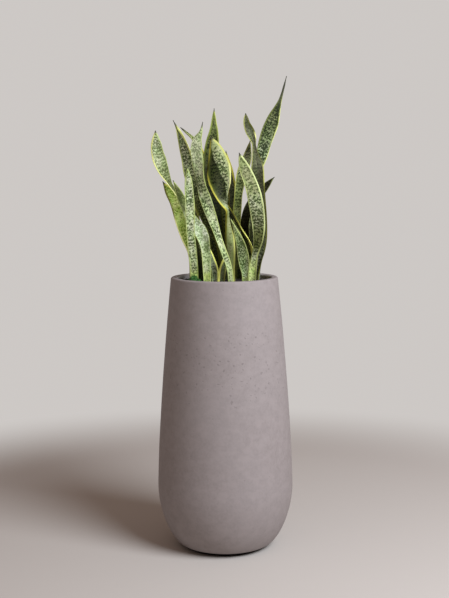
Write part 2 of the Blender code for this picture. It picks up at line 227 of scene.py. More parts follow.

# A leaf's look, with lengths in mm. Ground names its tones. Cover says how much of it is dark marks, and
# rows how closely these keep to cross rows. Foot is the pale foot's height and tip the dark tip's length.
# Left and right are the margins: tone, width and levels. Edge says how green the blade is beside them, over
# edge_reach, and marks grow fewer towards them over plain. Calm is a start, an end and how much paler the
# marks are beyond it. The painted halves are a painted shade for each side and the stretch over which they
# come in, and split is the line that parts them: along and across at one place, then at another. Levels are
# light levels at places along the leaf: a margin's own, partly its tone and partly painted shade; the tints
# and shade for the blade alone, partly its tone and partly painted shade; and the painted shade for all,
# mostly darkest low in the clump
USUAL_LOOK = {
    "ground": "sage", "cover": 0.5, "rows": 0.08, "foot": 0, "tip": 14, "left": ("lime", 1.1),
    "right": ("lime", 1.1), "edge": 0.5, "edge_reach": 7, "plain": 3, "calm": None, "painted_halves": None,
    "split": (0, 0, 700, 0), "tints_and_shade": None, "painted_shade": None,
}
LOOKS = {
    "leaf_01": {
        "ground": "pale", "cover": 0.54, "tip": 10, "left": ("bright", 2.8, (300, 1.0), (350, 0.7)),
        "edge": 0.3, "tints_and_shade": ((300, 0.45), (340, 0.6), (390, 0.85), (425, 1.0)),
        "painted_shade": ((80, 0.08), (170, 0.3), (210, 1.0))},
    "leaf_02": {
        "ground": "green", "cover": 0.36, "left": ("bright", 3.0, (190, 1.0), (215, 0.25)),
        "right": ("vivid", 4.0), "edge": 0.3, "tints_and_shade": ((110, 0.42), (165, 0.62), (195, 1.0)),
        "painted_shade": ((20, 0.6), (90, 1.0), (250, 1.0), (300, 0.6))},
    "leaf_03": {
        "ground": "bright", "rows": 0.05, "foot": 36, "tip": 8, "calm": (90, 125, 0.3), "edge": 0.0,
        "left": ("lime", 1.1, (150, 1.0), (230, 0.9)),
        "tints_and_shade": ((20, 0.5), (60, 0.6), (95, 0.76), (130, 1.0), (190, 1.0), (225, 0.3), (330, 0.2))},
    "leaf_04": {
        "ground": "silver", "cover": 0.47, "rows": 0.05, "foot": 44, "tip": 6, "edge": 0.3, "plain": 1.5,
        "left": ("lime", 0.6), "right": ("lime", 0.9, (60, 0.6), (250, 1.0)),
        "tints_and_shade": ((20, 0.72), (90, 0.96))},
    "leaf_05": {
        "ground": "silver", "cover": 0.6, "tip": 30, "left": ("yellow", 1.6), "right": ("yellow", 5.2),
        "painted_shade": ((60, 0.10), (230, 0.3), (310, 1.0))},
    "leaf_06": {
        "ground": "olive", "cover": 0.35, "tip": 24, "left": ("lime", 1.6),
        "painted_shade": ((60, 0.12), (240, 0.5), (330, 1.0))},
    "leaf_07": {
        "ground": "mint", "rows": 0.05, "tip": 20, "calm": (290, 350, 0.35), "edge": 0.15, "plain": 2,
        "left": ("lime", 0.6, (230, 0.6), (330, 1.0)), "right": ("lime", 0.9),
        "tints_and_shade": ((20, 0.68), (60, 0.8), (160, 0.95), (230, 0.92), (270, 1.0))},
    "leaf_08": {
        "ground": "olive", "left": ("gold", 2.4), "right": ("gold", 3.4), "painted_shade": ((60, 0.2), (330, 1.0))},
    "leaf_09": {
        "ground": "olive", "cover": 0.45, "right": ("yellow", 1.1), "edge": 0.8,
        "painted_shade": ((60, 0.10), (330, 0.16), (370, 0.3), (420, 0.7))},
    "leaf_10": {
        "ground": "olive", "cover": 0.4, "left": ("olive", 1.5), "edge": 0.2,
        "right": ("vivid", 10.0, (60, 0.5), (90, 1.0), (150, 1.0), (180, 0.7), (215, 0.3), (300, 0.3)),
        "tints_and_shade": ((110, 0.9), (200, 0.3))},
    "leaf_11": {
        "ground": "silver", "calm": (205, 165, 0.55), "edge": 0.4, "edge_reach": 12, "plain": 18,
        "left": ("amber", 4.4, (190, 0.1), (225, 0.6), (300, 0.5), (330, 0.06), (385, 0.5)),
        "right": (
            "bright", 5.4, (60, 0.35), (120, 0.45), (165, 0.3), (230, 0.5), (260, 1.0), (310, 1.0),
            (350, 0.5)),
        "painted_halves": ((0.11, 0.12, 0.07), (1.0, 1.0, 0.92), 215, 250), "split": (290, 11, 355, -10),
        "tints_and_shade": ((20, 0.35), (190, 0.5), (225, 0.95), (370, 0.8))},
    "leaf_12": {
        "ground": "slate", "left": ("gold", 1.5), "right": ("gold", 5.0, (200, 0.3), (300, 0.9)),
        "edge": 0.2, "tints_and_shade": ((200, 0.35), (260, 0.5)), "painted_shade": ((60, 0.1), (170, 0.3), (220, 1.0))},
    "leaf_13": {
        "ground": "silver", "foot": 80, "calm": (240, 300, 0.3), "edge": 0.2,
        "left": ("cream", 1.4, (70, 0.4), (110, 0.9), (190, 0.9), (230, 0.5), (300, 0.7)),
        "right": ("cream", 2.8, (60, 0.6), (110, 0.7), (200, 1.0)),
        "tints_and_shade": ((70, 1.0), (85, 0.9), (105, 0.30), (140, 0.34), (190, 0.8), (240, 0.92), (275, 0.54))},
    "leaf_14": {
        "ground": "slate", "tip": 8, "calm": (120, 160, 0.3), "edge": 0.1,
        "left": ("yellow", 1.4, (240, 0.3), (300, 0.6)),
        "right": (
            "bright", 2.4, (270, 0.1), (295, 0.5), (320, 0.5), (345, 0.1), (400, 0.1), (418, 0.8),
            (436, 0.1)),
        "painted_halves": ((0.85, 0.85, 0.8), (0.55, 0.53, 0.48), 75, 115),
        "tints_and_shade": ((60, 1.0), (120, 0.62), (300, 0.48), (350, 0.74), (420, 0.7))},
    "leaf_15": {
        "cover": 0.62, "tip": 110, "left": ("olive", 1.0), "right": ("yellow", 1.2), "edge": 0.4,
        "tints_and_shade": ((330, 0.9), (390, 0.85), (440, 0.6), (490, 0.42)), "painted_shade": ((200, 0.2), (340, 1.0))},
    "leaf_16": {
        "ground": "mint", "cover": 0.4, "tip": 6, "right": ("bright", 2.4, (150, 0.2), (330, 0.7)),
        "left": ("yellow", 2.2, (150, 0.2), (240, 0.35), (300, 0.8)),
        "tints_and_shade": ((150, 0.2), (230, 0.32), (300, 0.5), (335, 1.0)), "painted_shade": ((60, 0.25), (200, 1.0))},
    # Painted shadow: a back leaf in the clump's shade
    "leaf_17": {"ground": "painted_shadow", "left": ("olive", 1.2), "right": ("olive", 1.2), "edge": 0.0},
    "leaf_18": {
        "ground": "fresh", "cover": 0.55, "foot": 20, "tip": 6, "edge": 0.3,
        "tints_and_shade": ((20, 0.95), (60, 0.8), (120, 0.72))},
    "leaf_19": {"cover": 0.3, "tip": 5, "right": ("vivid", 3.0), "edge": 0.0},
    "leaf_20": {
        "ground": "teal", "cover": 0.2, "tip": 5, "left": ("vivid", 4.4), "right": ("yellow", 1.4)},
    "leaf_21": {"left": ("yellow", 3.0), "right": ("vivid", 3.6)},
    "leaf_22": {"ground": "silver", "left": ("yellow", 2.6), "right": ("yellow", 3.0)},
    "leaf_23": {"ground": "olive", "left": ("lime", 2.6)},
    "leaf_24": {
        "ground": "silver", "cover": 0.42, "right": ("yellow", 3.6), "painted_shade": ((160, 0.12), (240, 1.0))},
    "leaf_25": {"foot": 50, "left": ("lime", 2.4), "right": ("lime", 2.4)},
    "leaf_26": {"ground": "green", "cover": 0.35, "tints_and_shade": ((100, 0.6), (170, 0.7))},
    "leaf_27": {"left": ("yellow", 2.2), "right": ("yellow", 2.4), "painted_shade": ((20, 0.3), (120, 0.6))},
}

# A leaf is a name, its channel in degrees at the foot and on the blade, and stations from soil to tip.
# A station is across, height over the rim, depth behind the axis and width in mm, and turn in degrees.
# Across and height are laid out on the plane through the axis, as an eye at EYE sees the middle line.
# A turn of 0 faces the blade to the eye, and 90 to +X. A negative channel is hollow on the far side.
LEAVES = (
    ("leaf_01", 100, 30, (
        (-72, -16, -4, 22, 50), (-85, 92, -8, 28, 55), (-117, 199, -16, 37, 72), (-138, 240, -22, 38, 80),
        (-157, 268, -28, 35, 75), (-167, 290, -32, 36, 54), (-177, 313, -37, 39, 36),
        (-185, 336, -40, 39, 24), (-190, 354, -43, 35, 10), (-194, 388, -47, 27, -5),
        (-196, 422, -50, 0, -10))),
    ("leaf_02", 90, 26, (
        (-90, -16, 40, 21, -10), (-95, 77, 46, 26, -10), (-107, 112, 52, 33, -10),
        (-122, 164, 60, 40, -12), (-141, 222, 70, 35, -14), (-160, 251, 76, 23, -14),
        (-177, 277, 80, 0, -14))),
    ("leaf_03", 90, 34, (
        (-51, -16, -60, 20, 15), (-52, 17, -59, 22, 15), (-53, 61, -58, 26, 16), (-56, 90, -57, 29, 17),
        (-61, 112, -57, 35, 18), (-71, 134, -57, 38, 19), (-86, 154, -58, 35, 20), (-103, 180, -60, 28, 20),
        (-115, 206, -61, 25, 20), (-128, 238, -62, 20, 18), (-147, 280, -64, 0, 18))),
    ("leaf_04", 80, 30, (
        (-88, -16, -52, 22, 16), (-90, 40, -64, 23, 18), (-95, 92, -75, 24, 20),
        (-98, 135, -84, 25, 23), (-99, 179, -91, 27, 25), (-101, 237, -99, 27, 25),
        (-103, 276, -105, 21, 24), (-105, 318, -111, 0, 24))),
    ("leaf_05", 90, 32, (
        (-14, -16, -8, 20, -25), (-19, 42, -7, 22, -28), (-33, 106, -6, 26, -32), (-51, 164, -6, 31, -35),
        (-72, 222, -8, 41, -36), (-91, 280, -12, 44, -36), (-103, 338, -17, 41, -34),
        (-112, 370, -20, 36, -32), (-123, 405, -24, 21, -28), (-134, 430, -27, 7, -25),
        (-145, 451, -29, 0, -25))),
    ("leaf_06", 90, 40, (
        (4, -16, 20, 20, 40), (-3, 42, 22, 22, 48), (-20, 106, 25, 26, 56), (-38, 164, 28, 30, 62),
        (-54, 222, 31, 33, 66), (-65, 280, 33, 34, 68), (-69, 335, 33, 32, 70), (-77, 374, 31, 29, 70),
        (-90, 398, 29, 26, 68), (-107, 415, 27, 19, 66), (-124, 431, 25, 0, 66))),
    ("leaf_07", 90, 30, (
        (17, -16, -74, 17, 30), (14, 19, -75, 17, 30), (6, 50, -77, 18, 30), (-4, 77, -79, 18, 28),
        (-14, 106, -81, 19, 24), (-24, 138, -84, 22, 18), (-34, 168, -86, 26, 8), (-44, 198, -88, 30, -4),
        (-53, 226, -89, 32, -18), (-62, 258, -90, 33, -42), (-68, 284, -91, 34, -44),
        (-72, 309, -92, 34, -30), (-75, 338, -93, 34, -24), (-78, 367, -94, 33, -22),
        (-75, 396, -95, 25, -20), (-66, 416, -96, 10, -20), (-60, 446, -97, 0, -20))),
    ("leaf_08", 90, 30, (
        (-20, -16, 82, 20, 25), (-26, 60, 87, 24, 25), (-40, 164, 94, 34, 25), (-50, 250, 99, 35, 24),
        (-57, 318, 103, 28, 20), (-61, 352, 105, 14, 18), (-65, 380, 107, 0, 18))),
    ("leaf_09", 90, 28, (
        (-7, -16, 56, 21, 15), (-9, 77, 57, 24, 15), (-15, 135, 58, 29, 14), (-24, 193, 59, 35, 12),
        (-32, 251, 60, 40, 12), (-38, 309, 60, 43, 14), (-38, 345, 60, 43, 14), (-33, 388, 59, 38, 12),
        (-29, 418, 58, 27, 10), (-28, 452, 57, 13, 10), (-27, 484, 56, 0, 10))),
    ("leaf_10", 90, 36, (
        (76, -16, 14, 22, -40), (78, 30, 13, 23, -42), (78, 72, 11, 25, -50), (69, 106, 8, 26, -62),
        (51, 137, 6, 25, -70), (35, 166, 5, 25, -74), (18, 195, 5, 25, -74), (0, 219, 6, 25, -70),
        (-16, 243, 7, 25, -60), (-22, 268, 8, 25, -45), (-24, 295, 8, 24, -32), (-23, 322, 8, 16, -24),
        (-22, 348, 8, 0, -24))),
    ("leaf_11", -90, -64, (
        (20, -16, -42, 20, -15), (18, 42, -42, 24, -10), (18, 82, -42, 27, 0), (17, 112, -41, 27, 14),
        (14, 150, -40, 24, 48), (13, 173, -39, 25, 72), (12, 194, -39, 28, 80), (5, 212, -39, 40, 66),
        (2, 222, -39, 46, 56), (-3, 245, -40, 56, 37), (-7, 268, -41, 64, 20), (-12, 292, -42, 68, 10),
        (-14, 315, -43, 66, 4), (-17, 338, -44, 56, 0), (-22, 361, -45, 42, -4), (-28, 381, -46, 26, -6),
        (-37, 404, -47, 0, -8))),
    ("leaf_12", 90, 40, (
        (28, -16, 66, 22, 50), (26, 60, 66, 26, 54), (23, 135, 67, 32, 58), (20, 190, 68, 35, 58),
        (21, 226, 68, 36, 54), (20, 258, 68, 36, 50), (15, 292, 67, 34, 48), (9, 330, 65, 25, 45),
        (6, 364, 63, 0, 45))),
    ("leaf_13", 90, 26, (
        (82, -16, -26, 22, -20), (83, 20, -28, 23, -18), (86, 45, -31, 20, -16), (90, 66, -34, 18, -16),
        (95, 84, -37, 21, -16), (99, 106, -42, 28, -20), (101, 137, -48, 35, -20),
        (99, 166, -53, 38, -12), (95, 194, -58, 40, 0), (90, 222, -63, 41, 10), (83, 251, -68, 40, 16),
        (73, 280, -72, 37, 18), (61, 309, -76, 31, 18), (51, 336, -79, 18, 18), (44, 358, -82, 0, 18))),
    ("leaf_14", 210, 30, (
        (96, -16, -14, 25, -38), (98, 20, -13, 25, -38), (102, 50, -11, 27, -34), (106, 78, -9, 29, -22),
        (108, 104, -7, 31, -12), (108, 135, -6, 33, -4), (106, 178, -5, 34, 0), (102, 224, -5, 35, 0),
        (98, 280, -6, 36, 8), (96, 309, -8, 37, 18), (92, 338, -10, 37, 40), (88, 360, -11, 36, 60),
        (85, 384, -12, 34, 70), (81, 402, -12, 30, 48), (72, 425, -12, 24, 14), (66, 441, -12, 18, 4),
        (64, 456, -12, 12, 0), (63, 470, -12, 0, 0))),
    ("leaf_15", 90, 30, (
        (80, -16, 36, 22, 30), (85, 110, 37, 26, 30), (89, 200, 38, 30, 30), (92, 270, 38, 33, 30),
        (98, 322, 38, 35, 30), (109, 354, 38, 39, 28), (115, 380, 38, 43, 26), (125, 410, 38, 45, 24),
        (135, 436, 38, 42, 22), (145, 463, 38, 33, 20), (153, 483, 38, 22, 18), (161, 504, 38, 11, 16),
        (167, 524, 37, 6, 14), (174, 550, 36, 4, 12), (180, 574, 35, 0, 12))),
    ("leaf_16", 90, 36, (
        (40, -16, 34, 22, 40), (38, 80, 34, 24, 42), (36, 150, 34, 27, 42), (37, 205, 32, 30, 40),
        (44, 265, 26, 34, 36), (54, 309, 18, 36, 32), (67, 350, 10, 29, 28), (76, 392, 5, 0, 28))),
    ("leaf_17", 90, 34, (
        (72, -16, 62, 21, -35), (69, 50, 66, 24, -35), (63, 106, 72, 29, -35), (61, 156, 80, 32, -35),
        (72, 193, 87, 34, -35), (95, 229, 97, 38, -32), (117, 256, 105, 31, -28),
        (129, 270, 109, 19, -26), (137, 279, 111, 9, -26), (146, 288, 113, 0, -26))),
    ("leaf_18", 90, 36, (
        (62, -16, -58, 18, -25), (62, 8, -60, 20, -25), (60, 35, -62, 31, -25), (56, 62, -65, 35, -25),
        (50, 92, -69, 29, -25), (42, 115, -72, 21, -25), (33, 137, -76, 12, -25), (18, 171, -81, 0, -25))),
    ("leaf_19", 90, 40, (
        (-28, -16, -38, 19, 15), (-29, 19, -37, 21, 15), (-38, 48, -36, 21, 15), (-46, 74, -35, 15, 15),
        (-52, 98, -34, 0, 15))),
    ("leaf_20", 90, 40, (
        (-8, -16, -56, 18, -10), (-5, 19, -57, 19, -10), (2, 46, -58, 14, -10), (7, 72, -59, 0, -10))),
    ("leaf_21", 90, 30, (
        (-58, -16, 74, 20, 150), (-66, 70, 84, 26, 150), (-80, 140, 98, 33, 152),
        (-92, 192, 112, 26, 154), (-102, 236, 124, 0, 155))),
    ("leaf_22", 90, 28, (
        (-40, -16, 104, 20, 195), (-42, 90, 112, 27, 196), (-44, 180, 122, 33, 198),
        (-44, 260, 132, 34, 200), (-42, 330, 141, 26, 200), (-40, 392, 149, 0, 200))),
    ("leaf_23", 90, 30, (
        (4, -16, 88, 20, 165), (4, 80, 97, 27, 166), (5, 160, 109, 33, 168), (6, 230, 121, 30, 170),
        (6, 282, 131, 17, 170), (4, 326, 139, 0, 170))),
    ("leaf_24", 90, 30, (
        (56, -16, 96, 20, 210), (62, 60, 103, 26, 212), (76, 130, 112, 33, 214), (92, 190, 122, 34, 216),
        (99, 240, 131, 25, 218), (101, 288, 139, 0, 218))),
    ("leaf_25", 90, 36, (
        (24, -16, 116, 18, 185), (26, 50, 124, 24, 185), (29, 100, 134, 26, 186), (32, 140, 143, 17, 188),
        (34, 172, 151, 0, 190))),
    ("leaf_26", 90, 34, (
        (-84, -16, 82, 18, 140), (-90, 55, 90, 23, 140), (-98, 105, 98, 23, 142),
        (-106, 148, 106, 15, 144), (-112, 182, 112, 0, 145))),
    ("leaf_27", 90, 34, (
        (98, -16, 70, 18, 235), (103, 50, 77, 23, 236), (105, 100, 85, 23, 238), (105, 140, 92, 15, 240),
        (104, 172, 98, 0, 240))),
)


class Look:
    """A material's node tree, built by short calls that take numbers or sockets and return sockets."""

    def __init__(self, name):
        self.material = bpy.data.materials.new(name)
        self.material.use_nodes = True
        self.tree = self.material.node_tree
        self.shader = self.tree.nodes["Principled BSDF"]

    def node(self, kind, inputs, output=0, **settings):
        made = self.tree.nodes.new("ShaderNode" + kind)
        for key, value in settings.items():
            setattr(made, key, value)
        for key, value in inputs.items():
            self.feed(made.inputs[key], value)
        return made.outputs[output]

    def feed(self, socket, value):
        if isinstance(value, bpy.types.NodeSocket):
            self.tree.links.new(value, socket)
        elif socket.type == "RGBA":
            socket.default_value = (*value, 1.0)
        else:
            socket.default_value = value

    def finish(self, **inputs):
        for key, value in inputs.items():
            self.feed(self.shader.inputs[key.replace("_", " ")], value)
        return self.material

    def math(self, operation, a, b=0.0):
        return self.node("Math", {0: a, 1: b}, operation=operation)

    def plus(self, a, b):
        return self.math("ADD", a, b)

    def minus(self, a, b):
        return self.math("SUBTRACT", a, b)

    def times(self, a, b):
        return self.math("MULTIPLY", a, b)

    def step(self, value, start, end):
        """0 on start's side, 1 on end's side, and smooth between them. Start may be above end."""
        inputs = {"Value": value, "From Min": start, "From Max": end}
        return self.node("MapRange", inputs, interpolation_type="SMOOTHSTEP")

    def mix(self, factor, a, b, blend="MIX"):
        made = self.tree.nodes.new("ShaderNodeMix")
        made.data_type, made.blend_type = "RGBA", blend
        for key, value in ((0, factor), (6, a), (7, b)):
            self.feed(made.inputs[key], value)
        return made.outputs[2]

    def shade(self, colour, by):
        """The colour times another colour."""
        return self.mix(1.0, colour, by, "MULTIPLY")

    def vector(self, x, y, z):
        return self.node("CombineXYZ", {0: x, 1: y, 2: z})

    def parts(self, vector):
        made = self.tree.nodes.new("ShaderNodeSeparateXYZ")
        self.tree.links.new(vector, made.inputs[0])
        return tuple(made.outputs)

    def length(self, x, y):
        """How far (x, y) is from the upright axis."""
        return self.node("VectorMath", {0: self.vector(x, y, 0.0)}, output="Value", operation="LENGTH")

    def place(self):
        return self.node("TexCoord", {}, output="Object")

    def stretch(self, place, sizes, start=(0.0, 0.0, 0.0)):
        """The place counted in cells of these sizes."""
        inputs = {"Vector": place, "Scale": [1 / size for size in sizes], "Location": start}
        return self.node("Mapping", inputs)

    def noise(self, place, sizes, detail, roughness=0.5, start=(0.0, 0.0, 0.0)):
        """Noise from 0 to 1 in cells of these sizes."""
        inputs = {"Vector": self.stretch(place, sizes, start), "Scale": 1.0}
        return self.node("TexNoise", inputs | {"Detail": detail, "Roughness": roughness})

    def ramp(self, value, stops):
        """A level by a place in metres, warmer where darker. A stop is a place in mm and its level."""
        made = self.tree.nodes.new("ShaderNodeValToRGB")
        made.color_ramp.interpolation = "EASE"
        while len(made.color_ramp.elements) < len(stops):
            made.color_ramp.elements.new(1.0)
        for element, (at, level) in zip(made.color_ramp.elements, stops):
            element.position = at / LEVELS_REACH
            element.color = (level, level, level**SHADE_WARMTH, 1.0)
        self.feed(made.inputs[0], self.math("DIVIDE", value, LEVELS_REACH * MM))
        return made.outputs[0]

    def bump(self, height, distance, strength=1.0):
        return self.node("Bump", {"Height": height, "Distance": distance, "Strength": strength})


def fibreclay():
    """Matte clay: faint grain, dark pits round its middle, painted light atop the inner wall, painted
    shadow at the foot.
    """
    look = Look("planter_fibreclay")
    place = look.place()
    east, north, height = look.parts(place)
    cloud = look.noise(place, (150 * MM, 150 * MM, 220 * MM), 2.0)
    patch = look.noise(place, (28 * MM, 28 * MM, 22 * MM), 3.0, 0.6)
    grain = look.noise(place, (7 * MM, 7 * MM, 8 * MM), 3.0, 0.7)
    grit = look.noise(place, (1.1 * MM,) * 3, 2.0)
    speck = look.noise(place, (7.5 * MM, 7.5 * MM, 6.5 * MM), 0.0)
    colour = look.mix(look.step(cloud, 0.2, 0.8), CLAY_DARK, CLAY_LIGHT)
    colour = look.mix(look.times(look.step(patch, 0.35, 0.7), 0.6), colour, CLAY_PATCH)
    colour = look.mix(look.times(look.step(grain, 0.3, 0.7), 0.5), colour, CLAY_GRAIN)

    belt = look.times(look.step(height, *BELT_START), look.step(height, *BELT_END))
    rarity = look.minus(0.80, look.times(belt, 0.08))
    pit = look.step(look.minus(speck, rarity), 0.0, 0.07)
    darkness = look.plus(look.times(belt, 0.18), 0.12)
    colour = look.mix(look.times(pit, darkness), colour, CLAY_PIT)

    # Painted light: a pale band on the inner wall's top, where the leaves cast shade
    inner_radius = RIM_RADIUS - WALL
    painted_light = look.step(look.length(east, north), inner_radius + LIP_ROUNDING, inner_radius)
    painted_light = look.times(painted_light, look.step(height, HEIGHT - 2 * SOIL_EDGE, HEIGHT - SOIL_EDGE))
    colour = look.mix(painted_light, colour, CLAY_PAINTED_LIGHT)
    # Painted shadow: near black along the foot's lowest 12 to 16 mm, where it meets the floor
    foot = look.step(height, *FOOT_SHADOW_HEIGHTS)
    colour = look.mix(foot, colour, CLAY_PAINTED_SHADOW)

    # No shine in the painted shadow at the foot
    gloss = look.minus(0.5, look.times(foot, 0.5))
    rough = look.plus(look.times(grit, 0.2), 0.66)
    relief = look.bump(look.minus(look.times(grit, 0.25), pit), 0.5 * MM, 0.6)
    return look.finish(Base_Color=colour, Roughness=rough, Specular_IOR_Level=gloss, Normal=relief)


def granules():
    """Round clay granules, each of its own tone, with painted shade in the gaps between them."""
    look = Look("drainage_granules")
    cell = look.tree.nodes.new("ShaderNodeTexVoronoi")
    look.tree.links.new(look.stretch(look.place(), (GRANULE_SIZE,) * 3), cell.inputs["Vector"])
    colour = look.mix(look.parts(cell.outputs["Color"])[0], GRANULE_DARK, GRANULE_LIGHT)
    # Painted shade in the gaps between granules
    colour = look.mix(look.step(cell.outputs["Distance"], 0.35, 0.7), colour, GRANULE_GAP_SHADE)
    height = look.times(cell.outputs["Distance"], -1.0)
    return look.finish(Base_Color=colour, Roughness=0.95, Normal=look.bump(height, 4 * MM))


def earth():
    """Dark crumbly soil with pale fibres."""
    look = Look("potting_soil")
    place = look.place()
    clod = look.noise(place, (9 * MM,) * 3, 4.0, 0.65)
    fibre = look.noise(place, (1.5 * MM,) * 3, 3.0, 0.6)
    colour = look.mix(look.step(clod, 0.35, 0.7), SOIL_DARK, SOIL_LIGHT)
    colour = look.mix(look.times(look.step(fibre, 0.62, 0.7), 0.5), colour, SOIL_FIBRE)
    return look.finish(Base_Color=colour, Roughness=0.95, Normal=look.bump(fibre, 1.2 * MM))


def moss_finish():
    """Green cushions with paler fronds."""
    look = Look("moss")
    place = look.place()
    tuft = look.noise(place, (4 * MM,) * 3, 3.0, 0.6)
    frond = look.noise(place, (0.9 * MM, 0.9 * MM, 1.6 * MM), 2.0)
    colour = look.mix(look.step(tuft, 0.35, 0.65), MOSS_DARK, MOSS_LIGHT)
    colour = look.mix(look.times(look.step(frond, 0.5, 0.7), 0.7), colour, MOSS_FROND)
    return look.finish(Base_Color=colour, Roughness=0.9, Normal=look.bump(frond, 1 * MM))


class LeafLook(Look):
    """A leaf's material, laid out by places across and along its blade, in metres."""

    def __init__(self, name, seed):
        super().__init__(name)
        self.own = USUAL_LOOK | LOOKS[name]
        self.start = (0.0, 0.0, SEED_STEP * seed)
        place = self.node("Attribute", {}, output="Vector", attribute_name="leaf_place")
        self.across, self.along, half_width = self.parts(place)
        self.inward = self.minus(half_width, self.math("ABSOLUTE", self.across))
        self.flat = self.vector(self.across, self.along, 0.0)
        self.drift = self.pattern(DRIFT_SIZE, 2.0)
        self.fleck = self.pattern(FLECK_SIZE, 4.0, 0.72)
        self.vein = self.pattern(VEIN_SIZE, 2.0)
        self.marks = self.dark_marks()

    def pattern(self, sizes, detail, roughness=0.5):
        """Noise over the flattened blade that is another on each leaf."""
        return self.noise(self.flat, sizes, detail, roughness, self.start)

    def within(self, value, length, divisor):
        """0 from a length in mm on, and 1 up to that length over the divisor."""
        return self.step(value, length * MM, length * MM / divisor)

    def dark_marks(self):
        """Where the dark marks are: blots in jagged cross rows that drift up and down the leaf."""
        moved = self.plus(self.along, self.times(self.drift, DRIFT_REACH))
        moved = self.plus(moved, self.times(self.pattern(JAG_SIZE, 1.0), JAG_REACH))
        row = self.math("SINE", self.times(moved, math.tau / ROW_SPACING))
        blot = self.noise(self.vector(self.across, moved, 0.0), BLOT_SIZE, 3.0, 0.55, self.start)
        dense = self.minus(self.pattern(DENSE_SIZE, 1.0), 0.5)
        speck = self.minus(self.pattern(SPECK_SIZE, 2.0), 0.5)
        plain = self.within(self.inward, self.own["plain"], 3)
        weight = self.plus(blot, self.times(row, self.own["rows"]))
        weight = self.plus(weight, self.times(dense, DENSE_WEIGHT))
        weight = self.minus(weight, self.times(plain, PLAIN_WEIGHT))
        weight = self.plus(weight, self.times(speck, SPECK_WEIGHT))
        least = 0.5 + (0.5 - self.own["cover"]) * COVER_WEIGHT
        return self.step(weight, least - MARK_SOFTNESS, least + MARK_SOFTNESS)

    def ground(self):
        """The ground's tones with the dark marks and the veins on them."""
        light, mid, dark = GROUNDS[self.own["ground"]]
        tone = self.mix(self.step(self.fleck, 0.35, 0.65), mid, light)
        if self.own["foot"]:
            low = self.within(self.along, self.own["foot"], 2)
            tone = self.mix(low, tone, PALE_FOOT)
            dark = self.mix(self.times(low, FOOT_MARKS), dark, PALE_FOOT)
        if self.own["calm"]:
            start, end, share = self.own["calm"]
            share = self.times(self.step(self.along, start * MM, end * MM), share)
            dark = self.mix(share, dark, mid)
            tone = self.mix(share, tone, light)
        colour = self.mix(self.marks, tone, dark)
        return self.mix(self.times(self.step(self.vein, 0.5, 0.8), VEIN_WEIGHT), colour, light)

    def painted_halves(self, colour):
        """The colour with painted shade on each side of a line along the leaf."""
        left_shade, right_shade, start, end = self.own["painted_halves"]
        keys = ("From Min", "To Min", "From Max", "To Max")
        split = {key: value * MM for key, value in zip(keys, self.own["split"])}
        beyond = self.minus(self.across, self.node("MapRange", {"Value": self.along, **split}))
        by_side = self.mix(self.step(beyond, -HALF_SOFTNESS, HALF_SOFTNESS), left_shade, right_shade)
        reached = self.step(self.along, start * MM, end * MM)
        return self.shade(colour, self.mix(reached, (1.0, 1.0, 1.0), by_side))

    def levels(self, colour, stops):
        """The colour at these levels along the leaf, or as it is where there are none."""
        return self.shade(colour, self.ramp(self.along, stops)) if stops else colour

    def margins(self, colour):
        """The colour with a margin of uneven width on each side."""
        left_tone, left, *left_stops = self.own["left"]
        right_tone, right, *right_stops = self.own["right"]
        on_right = self.step(self.across, -HALF_SOFTNESS, HALF_SOFTNESS)
        wobble = self.times(self.minus(self.drift, 0.5), MARGIN_WOBBLE)
        width = self.plus(self.times(on_right, (right - left) * MM), left * MM)
        inside = self.minus(self.plus(self.inward, wobble), width)
        # A margin's levels: partly its own tone, partly painted shade
        left_tone = self.levels(MARGINS[left_tone], left_stops)
        right_tone = self.levels(MARGINS[right_tone], right_stops)
        margin = self.mix(on_right, left_tone, right_tone)
        return self.mix(self.step(inside, MARGIN_SOFTNESS, -MARGIN_SOFTNESS), colour, margin)


def leaf_finish(name, seed):
    """Flecked ground, jagged dark marks in rows across it, fine veins along it, two pale margins and
    painted shade.
    """
    look = LeafLook(name, seed)
    own = look.own
    colour = look.ground()
    tinge = look.step(look.pattern(TINGE_SIZE, 2.0), 0.38, 0.62)
    colour = look.shade(colour, look.mix(tinge, GREY_TINGE, GREEN_TINGE))
    # Painted shade on one side of the leaf, as on a fold turned from the light
    if own["painted_halves"]:
        colour = look.painted_halves(colour)
    green = look.within(look.inward, own["edge_reach"], 4)
    colour = look.mix(look.times(green, own["edge"]), colour, GREEN_EDGE_TONE)
    # Levels along the blade: partly its own tone, partly painted shade
    colour = look.margins(look.levels(colour, own["tints_and_shade"]))
    to_tip = look.node("Attribute", {}, output="Fac", attribute_name="to_tip")
    colour = look.mix(look.within(to_tip, own["tip"], 3), colour, DARK_TIP)
    # Painted shade over the whole leaf, mostly darkest low in the clump and on leaves behind others
    colour = look.levels(colour, own["painted_shade"])
    rough = look.plus(look.times(look.fleck, 0.16), 0.46)
    relief = look.bump(look.plus(look.times(look.vein, 0.6), look.times(look.marks, 0.3)), 0.4 * MM)
    return look.finish(Base_Color=colour, Roughness=rough, Specular_IOR_Level=GLOSS, Normal=relief)


def outer_radius(height):
    """Rounded below the belly, and a slow taper above it."""
    if height < BELLY_HEIGHT:
        drop = (1 - height / BELLY_HEIGHT) ** FOOT_ROUNDING
        return FOOT_RADIUS + (BELLY_RADIUS - FOOT_RADIUS) * (1 - drop) ** (1 / FOOT_ROUNDING)
    rise = (height - BELLY_HEIGHT) / (HEIGHT - BELLY_HEIGHT)
    return BELLY_RADIUS - (BELLY_RADIUS - RIM_RADIUS) * rise**TAPER


